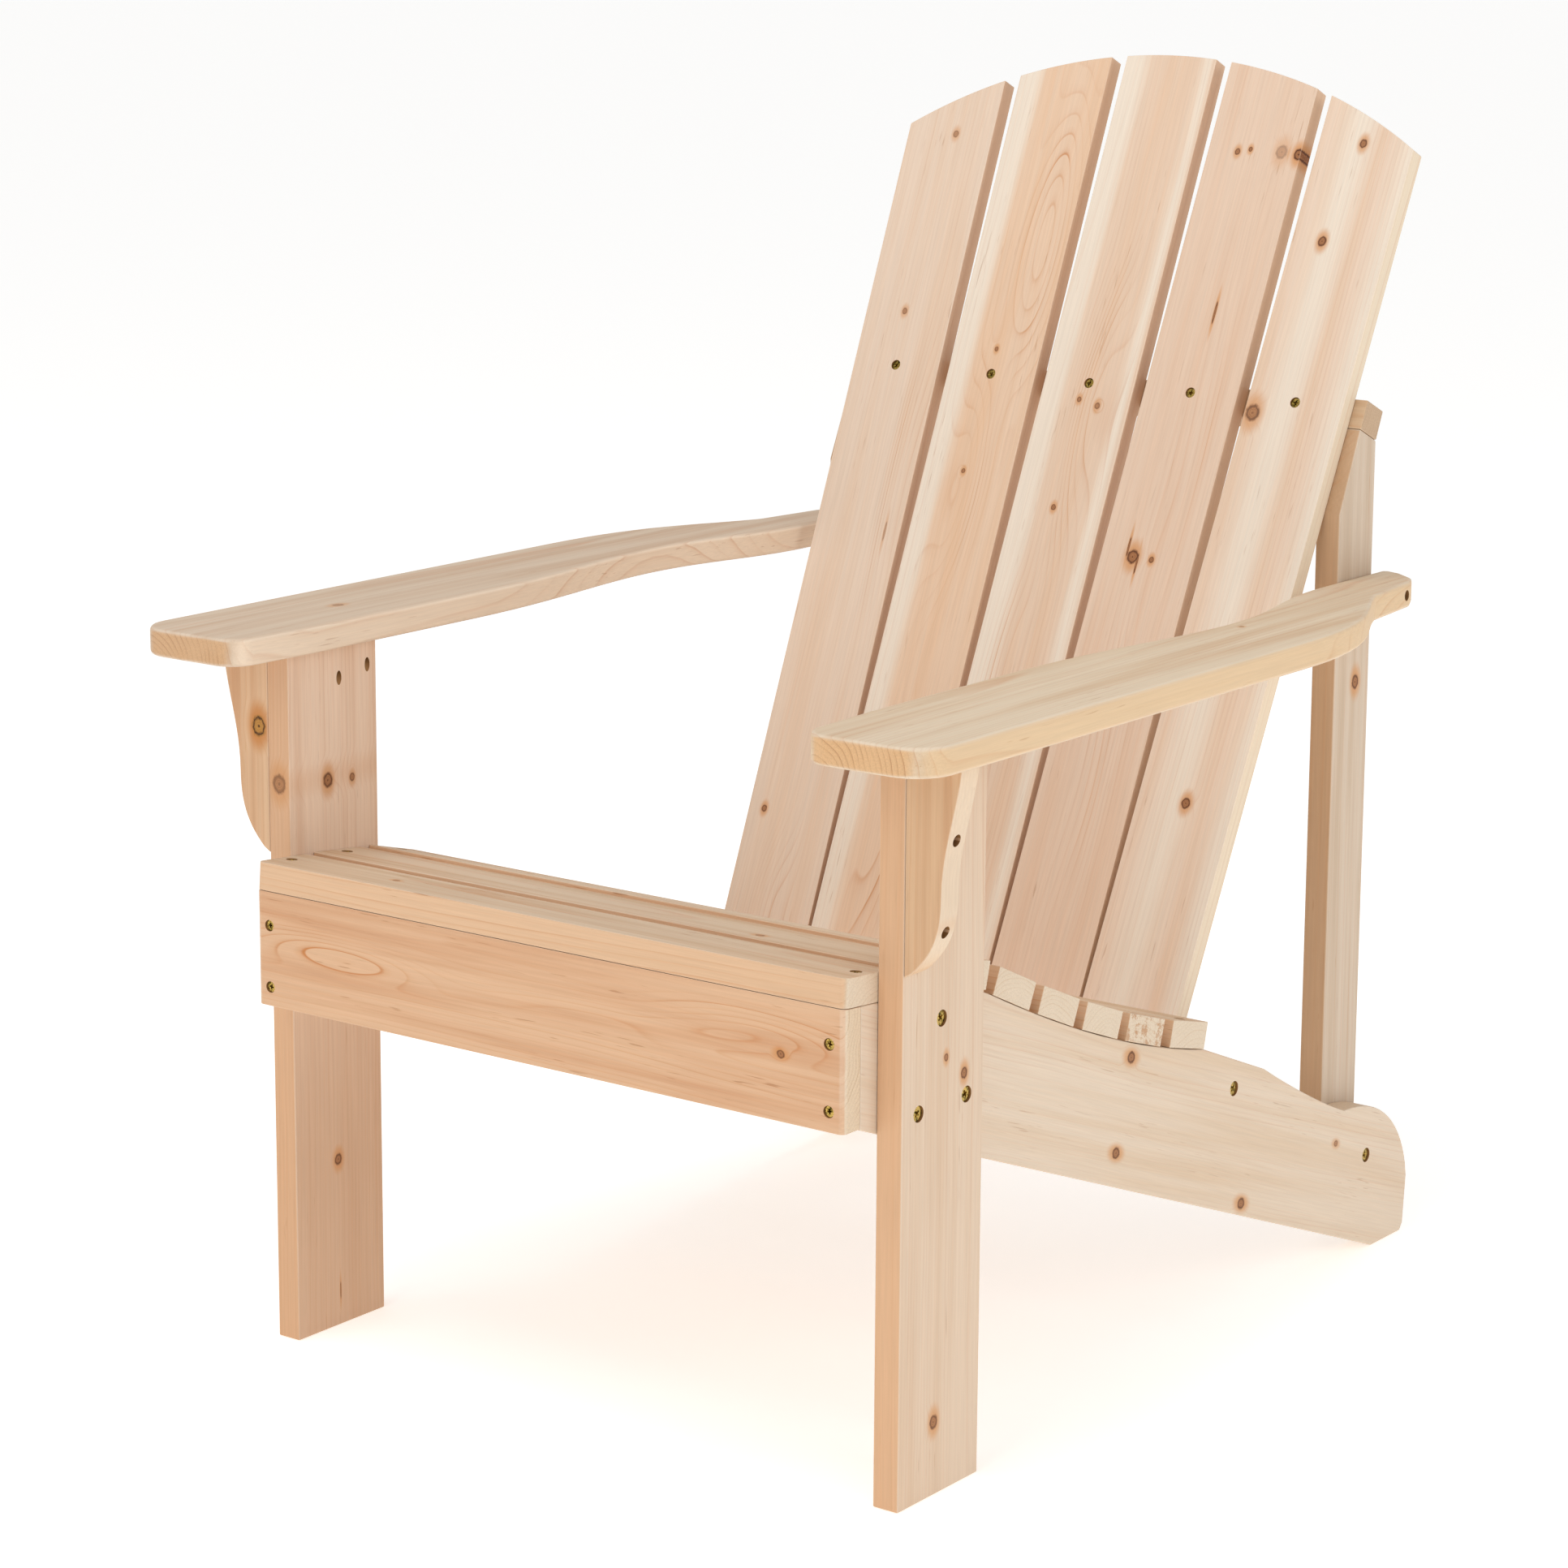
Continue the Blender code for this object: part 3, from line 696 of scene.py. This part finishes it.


# the back slats' edge tone is kept light: painted light on their sides, seen in the gaps
backCuts = {
    1: {"seed": 71, "pith": (-84, 50), "dip": 0.5, "swing": 0.4, "contrast": 0.24,
        "tones": {"heart": "#DFC9B4", "heartDeep": "#DDC2A9", "edge": "#DDB99A"},
        "crowns": ((-318, -6, 74, 24, 16), (60, 30, 120, 16, 8)), "crownContrast": 0.7,
        "knots": ((367.5, 5.9, 2.6, 0.65, "face"), (207.4, -3.8, 2.4, 0.7, "face"),
                  (-232.2, -27.1, 2.6, 0.85, "face"), (14, 28, 0.9, 0.5, "streak"))},
    2: {"seed": 72, "pith": (30, 64), "dip": 0.5, "swing": 0.4, "contrast": 0.26,
        "tones": {"heart": "#E0C3A8", "heartDeep": "#DFBC9C", "edge": "#DDB99A"}, "sap": ((-44, 22, 8),),
        "crowns": ((262, 22, 118, 22, 24), (46, -2, 96, 22, 18), (-250, 4, 90, 18, 10)),
        "crownContrast": 0.75,
        "knots": ((163.4, -0.3, 1.8, 0.8, "face"), (56.5, -3.7, 1.8, 0.8, "face"))},
    3: {"seed": 73, "pith": (-60, 60), "dip": 0.5, "swing": -0.4, "contrast": 0.26,
        "tones": {"heart": "#DEC4AC", "heartDeep": "#DDBEA2", "edge": "#DDB99A"},
        "sap": ((-42, 20, 9), (36, 6, 6)),
        "crowns": ((112, 6, 112, 24, 18), (-120, -14, 100, 16, 8)), "crownContrast": 0.65,
        "knots": ((121.5, -5.2, 2.0, 0.8, "face"), (117.5, 13.3, 2.4, 0.75, "face"),
                  (28.7, -3.7, 2.2, 0.85, "face"))},
    4: {"seed": 74, "pith": (70, 60), "dip": 0.5, "swing": 0.4, "contrast": 0.24,
        "tones": {"heart": "#DEC4AD", "heartDeep": "#DCBDA3", "edge": "#DDB99A"},
        "crowns": ((-190, 4, 120, 20, 10), (70, 18, 150, 16, 7)), "crownContrast": 0.4,
        "knots": ((347.6, -15.2, 2.4, 0.85, "face"), (350.3, -3.7, 1.8, 0.9, "face"),
                  (349.8, 25.5, 5.0, 0.45, "face"), (348.7, 41.5, 4.2, 1.0, "face"),
                  (210.3, 3.1, 1.0, 0.9, "streak"), (1.1, -13, 5.0, 0.95, "face"),
                  (0.6, 4.8, 2.2, 0.9, "face"), (9, -19, 0.9, 0.9, "streak"), (-4, -8, 0.9, 0.9, "streak"))},
    5: {"seed": 75, "pith": (-70, 54), "dip": 0.5, "swing": -0.3, "contrast": 0.26,
        "tones": {"heart": "#E2CAB4", "heartDeep": "#DFC3A9", "edge": "#E6D3B8"},
        "sap": ((-10, 14, 14), (40, 10, 10)),
        "knots": ((378.1, -2.5, 3.2, 0.9, "face"), (293.8, -15.4, 3.6, 0.95, "face"),
                  (146.8, -35.4, 6.0, 0.8, "face"), (-172.2, 0.7, 3.8, 0.95, "face"))},
}
for number, cut in backCuts.items():
    node = f"back_slat_{number}"
    order = number - 3
    thickness = backSlat["thickness"]
    middleAlong = (backSlat["foot"] + topAt(order * 0.1)) / 2
    lean = order * backSlat["fan"]
    grainWay = (backUp + Vector((lean, 0, 0))).normalized()
    acrossWay = backThrough.cross(grainWay)
    middle = onBack(slatCentre(order, middleAlong), middleAlong, thickness / 2)
    place = axesMatrix(grainWay, acrossWay, middle)
    inPlace = place.inverted()
    outline = [(inPlace @ onBack(x, s, thickness / 2)).xy for x, s in slatOutline(order)]
    wood = planedWood(f"back slat {number}", place, cut)
    boards[node] = shaped(node, outline, thickness, place, wood, 0.8 * mm)
print("back slats made")


# arms and their brackets
arm = {"front": -0.0715, "outer": 0.3570, "inner": 0.2505, "tail": 0.722, "tailIn": 0.2483,
       "roundIn": 0.022, "roundOut": 0.030, "waist": (0.2735, 0.440), "edge": 3.2 * mm}


def armOutline():
    a = arm
    points = arc((a["outer"] - a["roundOut"], a["front"] + a["roundOut"]), a["roundOut"], -90, 0, 8)
    points += bezier((a["outer"], 0.410), (a["outer"], 0.530), (0.318, 0.565), (0.300, 0.618), 16)
    points += [(0.300, 0.618), (0.2915, 0.688), (0.284, 0.704), (0.266, a["tail"] - 0.004)]
    points += [(0.254, a["tail"]), (a["tailIn"], a["tail"] - 0.004)]
    points += bezier((a["tailIn"], 0.620), (a["tailIn"], 0.550), (a["waist"][0], 0.515), a["waist"], 12)
    points += bezier(a["waist"], (a["waist"][0], 0.365), (a["inner"], 0.300), (a["inner"], 0.190), 12)
    points += [(a["inner"], 0.190), (a["inner"], 0.010)]
    points += arc((a["inner"] + 0.003 + a["roundIn"], a["front"] + a["roundIn"]), a["roundIn"], 175, 270, 8)
    return points


armCuts = {
    "left": {"seed": 81, "pith": (40, -19), "dip": 0.5, "swing": 0.4, "contrast": 0.4, "ringScale": 1.25,
             "tones": {"heart": "#DCCAB0", "heartDeep": "#D2B899", "edge": "#DEBE95",
                       "endGrain": "#D9AE7E", "endLate": "#9A6334"},
             "knots": ((110, 16, 1.8, 0.6, "face"),)},
    # the far arm's pale edge tone is painted light on its inner side
    "right": {"seed": 82, "pith": (33, -22), "dip": 0.5, "swing": -0.5, "contrast": 0.4, "ringScale": 1.25,
              "tones": {"heart": "#D3BFA8", "heartDeep": "#C8AD92", "edge": "#EDD8C0",
                        "endGrain": "#CDA47A", "endLate": "#96643A"},
              "knots": ((-239.2, -6.9, 4.0, 0.5, "face"),)},
}
for side, cut in armCuts.items():
    node = "arm_" + side
    low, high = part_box(node)
    sign = 1 if side == "left" else -1
    middle = Vector((sign * 0.304, frontY + 0.325, (low.z + high.z) / 2))
    place = axesMatrix((0, 1, 0), (-1, 0, 0), middle)
    inPlace = place.inverted()
    outline = [(inPlace @ Vector((sign * x, frontY + y, middle.z))).xy for x, y in armOutline()]
    wood = planedWood("arm " + side, place, cut)
    boards[node] = shaped(node, outline, high.z - low.z, place, wood, arm["edge"])

bracket = {"low": 0.3805, "top": 0.5349, "inside": 0.2906, "topOut": 0.336, "waist": (0.320, 0.440)}


def bracketOutline():
    b = bracket
    points = [(b["inside"], b["low"]), (b["inside"], b["top"]), (b["topOut"], b["top"])]
    points += bezier((b["topOut"], b["top"]), (0.333, 0.500), (0.320, 0.475), b["waist"], 12)[1:]
    points += bezier(b["waist"], (0.320, 0.412), (0.312, 0.397), (b["inside"] + 0.002, b["low"]), 14)
    return points


bracketCuts = {
    "left": {"seed": 91, "pith": (60, 60), "dip": 0.8, "swing": 0.5, "contrast": 0.35,
             "tones": {"heart": "#D8B48F", "heartDeep": "#CCA27C", "edge": "#E2D0B8"},
             "knots": ((-44, 12, 4.2, 0.9, "face"), (-36, 10, 0.9, 0.8, "streak"))},
    "right": {"seed": 92, "pith": (-50, 56), "dip": -0.6, "swing": 0.6, "contrast": 0.35,
              "tones": {"heart": "#DCB894", "heartDeep": "#CFA37D", "edge": "#D8B894",
                        "knotCore": "#C08D45", "knot": "#A87434", "knotRim": "#38200F", "halo": "#C27A2E"},
              "knots": ((18, 13.3, 6.6, 1.0, "face"),)},
}
for side, cut in bracketCuts.items():
    node = "arm_bracket_" + side
    low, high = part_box(node)
    sign = 1 if side == "left" else -1
    middle = Vector((sign * 0.313, (low.y + high.y) / 2, 0.458))
    place = axesMatrix((0, 0, 1), (1, 0, 0), middle)
    inPlace = place.inverted()
    outline = [(inPlace @ Vector((sign * x, middle.y, z))).xy for x, z in bracketOutline()]
    wood = planedWood("bracket " + side, place, cut)
    boards[node] = shaped(node, outline, high.y - low.y, place, wood, 1.0 * mm)
print("arms and brackets made")


screw = {
    "head": 4.0 * mm,            # radius
    "wideHead": 5.6 * mm,        # through the legs, and at the rail and posts
    "smallHead": 2.4 * mm,       # the slanting ones under the arms
    "depth": 1.3 * mm,           # how far below the face a head is driven
    "lead": 2 * mm,              # how far outside the face its cutter starts,
    "deepLead": 8 * mm,          # and the cutter of a screw that is sunk deep
    "rim": 0.4 * mm,             # upright edge of the head
    "cone": 2.6 * mm,            # depth where the shank starts
    "core": 1.35 * mm,           # radius under the thread
    "thread": 1.95 * mm,
    "pitch": 1.9 * mm,
    "tip": 6 * mm,
    "plain": 8 * mm,             # shank with no thread, under the cone
    "room": 0.35 * mm,           # hole round the screw
    "sides": 28,
    "crossSpan": 2.45 * mm,      # half the recess, from arm to arm
    "crossArm": 0.78 * mm,
    "crossDepth": 2.1 * mm,
    "crossTaper": 0.42,
}


def yellowZinc():
    # Carbon steel plated with zinc and yellow chromate: dull gold that shifts to green, streaked and specked.
    made, tree, shader = newMaterial("yellow zinc plated steel")
    coords = addNode(tree, "ShaderNodeTexCoord").outputs["Object"]
    colour = addNode(tree, "ShaderNodeValToRGB", {"Fac": noise(tree, coords, 420.0)}, stops=(
        (0.30, "#3A3216"), (0.44, "#8A7434"), (0.56, "#D0AE5E"), (0.70, "#5E5A2A"))).outputs["Color"]
    scratch = noise(tree, coords, 2600.0)
    gloss = addNode(tree, "ShaderNodeMapRange", {"Value": scratch, "To Min": 0.16, "To Max": 0.4}).outputs[0]
    bump = addNode(tree, "ShaderNodeBump", {"Height": scratch, "Strength": 0.2,
                                            "Distance": 0.05 * mm}).outputs[0]
    tree.links.new(colour, shader.inputs["Base Color"])
    tree.links.new(gloss, shader.inputs["Roughness"])
    tree.links.new(bump, shader.inputs["Normal"])
    shader.inputs["Metallic"].default_value = 1.0
    return made


def turned(name, stations, sides):
    # a closed round solid down -Z: a filled circle, extruded and resized to each (radius, depth)
    clearSelection()
    radius, depth = stations[0]
    bpy.ops.mesh.primitive_circle_add(vertices=sides, radius=radius, fill_type="NGON",
                                      location=(0, 0, -depth))
    thing = bpy.context.object
    thing.name = name
    bpy.ops.object.transform_apply(location=True, rotation=True, scale=True)
    bpy.ops.object.mode_set(mode="EDIT")
    bpy.ops.mesh.select_all(action="SELECT")
    for nextRadius, nextDepth in stations[1:]:
        bpy.ops.mesh.extrude_region_move(TRANSFORM_OT_translate={"value": (0, 0, depth - nextDepth)})
        ratio = nextRadius / radius
        bpy.ops.transform.resize(value=(ratio, ratio, 1), center_override=(0, 0, -nextDepth))
        radius, depth = nextRadius, nextDepth
    bpy.ops.mesh.select_all(action="SELECT")
    bpy.ops.mesh.normals_make_consistent(inside=False)
    bpy.ops.object.mode_set(mode="OBJECT")
    return thing


def subtract(thing, cutter, operation="DIFFERENCE"):
    applyModifier(thing, "BOOLEAN", object=cutter, operation=operation, solver="EXACT")


def makeThread(length):
    # a three-cornered ridge wound down the shank
    start = screw["cone"] + screw["plain"]
    turns = int((length - start - screw["tip"]) / screw["pitch"])
    clearSelection()
    bpy.ops.mesh.primitive_circle_add(vertices=3, radius=1 * mm)
    ridge = bpy.context.object
    root = screw["core"] - 0.25 * mm
    corners = ((root, 0.45 * mm), (screw["thread"], 0.0), (root, -0.45 * mm))
    for corner, (x, z) in zip(ridge.data.vertices, corners):
        corner.co = (x, 0, z - start)
    applyModifier(ridge, "SCREW", steps=12, render_steps=12, iterations=turns, screw_offset=-screw["pitch"],
                  use_merge_vertices=False)
    bpy.ops.object.mode_set(mode="EDIT")
    bpy.ops.mesh.select_all(action="SELECT")
    bpy.ops.mesh.remove_doubles(threshold=0.00002)
    bpy.ops.mesh.fill_holes(sides=4)
    bpy.ops.mesh.select_all(action="SELECT")
    bpy.ops.mesh.normals_make_consistent(inside=False)
    bpy.ops.object.mode_set(mode="OBJECT")
    return ridge


def makeScrew(length, radius):
    s = screw
    scale = radius / s["head"]
    cone = s["cone"] * scale
    body = turned("screwBody", (
        (radius - 0.15 * mm, 0.0), (radius, 0.12 * mm), (radius, s["rim"]), (s["core"] + 0.25 * mm, cone),
        (s["core"] + 0.2 * mm, s["cone"] + s["plain"] - 1 * mm), (s["core"], s["cone"] + s["plain"]),
        (s["core"], length - s["tip"]), (0.15 * mm, length)), s["sides"])
    size = (2 * s["crossSpan"], 2 * s["crossArm"], s["crossDepth"] + 1 * mm)
    cross = None
    for turn in (0, 90):
        clearSelection()
        bpy.ops.mesh.primitive_cube_add(size=1, location=(0, 0, -s["crossDepth"] / 2 + 0.5 * mm),
                                        rotation=(0, 0, math.radians(turn)), scale=size)
        bpy.ops.object.transform_apply(location=True, rotation=True, scale=True)
        wing = bpy.context.object
        wing.data.transform(Matrix.Diagonal((scale, scale, 1, 1)))
        bpy.ops.object.mode_set(mode="EDIT")
        bpy.ops.mesh.select_mode(type="VERT")
        bpy.ops.mesh.select_all(action="DESELECT")
        bpy.ops.object.mode_set(mode="OBJECT")
        for corner in wing.data.vertices:
            corner.select = corner.co.z < -s["crossDepth"] / 2
        bpy.ops.object.mode_set(mode="EDIT")
        bpy.ops.transform.resize(value=(s["crossTaper"], s["crossTaper"], 1),
                                 center_override=(0, 0, -s["crossDepth"]))
        bpy.ops.object.mode_set(mode="OBJECT")
        if cross is None:
            cross = wing
        else:
            subtract(cross, wing, "UNION")
            bpy.data.objects.remove(wing)
    subtract(body, cross)
    bpy.data.objects.remove(cross)
    ridge = makeThread(length)
    subtract(body, ridge, "UNION")
    bpy.data.objects.remove(ridge)
    pick(body)
    bpy.ops.object.shade_smooth_by_angle(angle=math.radians(35))
    return body


zinc = yellowZinc()
screwRandom = random.Random(5)
masters = {}
cutters = {}
holes = {node: [] for node in boards}


def placing(head, direction, spin=0.0):
    turn = Vector((0, 0, -1)).rotation_difference(Vector(direction)).to_matrix().to_4x4()
    return Matrix.Translation(head) @ turn @ Matrix.Rotation(spin, 4, "Z")


def driveScrew(name, head, direction, through, length=38 * mm, sunk=0.0, node=None, radius=screw["head"]):
    # one screw and its hole in every board that it passes through
    direction = Vector(direction).normalized()
    room, lead = screw["room"], screw["deepLead"] if sunk else screw["lead"]
    kind, hole = (length, radius), (length, radius, sunk)
    if kind not in masters:
        masters[kind] = makeScrew(length, radius)
    if hole not in cutters:
        top, cone = lead + screw["depth"], screw["cone"] * radius / screw["head"]
        cutters[hole] = turned("holeCutter", (
            (radius + room, 0), (radius + room, top + sunk + screw["rim"] + room),
            (screw["thread"] + room, top + sunk + cone + room),
            (screw["thread"] + room, top + sunk + length + room)), screw["sides"])
    made = masters[kind].copy()
    made.data = masters[kind].data.copy()
    made.name = name
    bpy.context.scene.collection.objects.link(made)
    seat = Vector(head) + direction * (sunk + screw["depth"])
    made.data.transform(placing(seat, direction, screwRandom.uniform(0, math.pi / 2)))
    made.data.materials.clear()
    made.data.materials.append(zinc)
    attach(made, "root")
    if node:
        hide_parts(node)
    for board in through:
        cutter = cutters[hole].copy()
        cutter.data = cutters[hole].data.copy()
        bpy.context.scene.collection.objects.link(cutter)
        cutter.data.transform(placing(Vector(head) - direction * lead, direction))
        holes[board].append(cutter)
    return made


for number in range(1, 6):
    for level, along in (("upper", upperRail), ("lower", lowerRail)):
        node = f"back_screw_{level}_{number}"
        driveScrew("screw_" + node, onBack(slatCentre(number - 3, along), along, 0), backThrough,
                   (f"back_slat_{number}", f"{level}_back_rail"), 36 * mm, node=node)

legIn, legOut = (corner.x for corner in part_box("front_leg_left"))
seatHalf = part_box("stringer_left")[1].x
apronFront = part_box("front_apron")[0].y
armMiddle = sum(corner.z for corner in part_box("arm_left")) / 2
railMiddle = onBack(0, lowerRail, 0.0303)
apronOut, bracketOut, armOut = 0.2565, 0.330, 0.296       # from the middle of the chair
bracketY, seatInset = frontY + 0.0105, 0.0105
wide, deep = {"radius": screw["wideHead"]}, {"sunk": 18 * mm}
slanting = {"radius": screw["smallHead"], "sunk": 5.5 * mm}
slatEdge = 0.8 * mm                                       # the seat screws are driven less deep
for side, sign in (("left", 1), ("right", -1)):
    inward, upward = (-sign, 0, 0), (sign * 0.5, 0, 0.866)
    leg, longSide, armBoard, postBoard = (
        start + side for start in ("front_leg_", "stringer_", "arm_", "rear_post_"))
    for kind, places, way, through, settings in (
            ("apron", ((apronOut, apronFront, 0.337), (apronOut, apronFront, 0.290)), (0, 1, 0),
             ("front_apron", longSide), {}),
            ("leg", ((legOut, frontY + 0.046, 0.3425), (legOut, frontY + 0.077, 0.2815),
                     (legOut, frontY + 0.0195, 0.281)), inward, (leg, longSide), wide),
            ("rail", ((seatHalf, railMiddle.y, railMiddle.z),), inward, (longSide, "lower_back_rail"), wide),
            ("post", ((seatHalf, frontY + 0.688, 0.0805),), inward, (longSide, postBoard), wide),
            ("toe", ((legIn, frontY + 0.0555, 0.508), (legIn, frontY + 0.0870, 0.5135)), upward,
             (leg, armBoard), slanting),
            ("bracket", ((bracketOut, bracketY, 0.478), (bracketOut, bracketY, 0.414)), inward,
             ("arm_bracket_" + side, leg), deep),
            ("arm", ((armOut, frontY + 0.6815, armMiddle),), inward, (armBoard, postBoard), deep)):
        for number, (x, y, z) in enumerate(places, 1):
            node = f"{kind}_screw_{side}" + (f"_{number}" if len(places) > 1 else "")
            driveScrew("screw_" + node, (sign * x, y, z), way, through, node=node, **settings)
    # two screws hold each seat slat down on the stringers
    for number in range(1, 9):
        node = f"seat_slat_{number}"
        up, tilt = slatTop(node)
        centre, size = turnedBox(node, tilt)
        top = centre + up * (size.z / 2 + slatEdge) + Vector((sign * (seatHalf - seatInset), 0, 0))
        driveScrew(f"screw_seat_{side}_{number}", top, -up, (node, longSide))
for spare in (*masters.values(), *cutters.values()):
    bpy.data.objects.remove(spare)
print("screws made")

for node, cuts in holes.items():
    if cuts:
        clearSelection()
        for cutter in cuts:
            cutter.select_set(True)
        bpy.context.view_layer.objects.active = cuts[0]
        if len(cuts) > 1:
            bpy.ops.object.join()
        outside = KDTree(len(boards[node].data.vertices))
        for number, corner in enumerate(boards[node].data.vertices):
            outside.insert(corner.co, number)
        outside.balance()
        subtract(boards[node], cuts[0])
        bpy.data.objects.remove(cuts[0])
        # a hole's walls have none of the board's old corners, and don't lie in its broad faces
        mesh = boards[node].data
        new = [outside.find(corner.co)[2] > 0.01 * mm for corner in mesh.vertices]
        way = thicknessWays[boards[node].name]
        walls = [float(all(new[corner] for corner in face.vertices) and abs(face.normal.dot(way)) < 0.98)
                 for face in mesh.polygons]
        # these hole walls get painted shade
        mesh.attributes.new("holeWallShade", "FLOAT", "FACE").data.foreach_set("value", walls)
    pick(boards[node])
    bpy.ops.object.shade_smooth_by_angle(angle=math.radians(40))
    applyModifier(boards[node], "WEIGHTED_NORMAL", keep_sharp=True, weight=50)
print("holes drilled")

clearSelection()
bpy.context.view_layer.update()
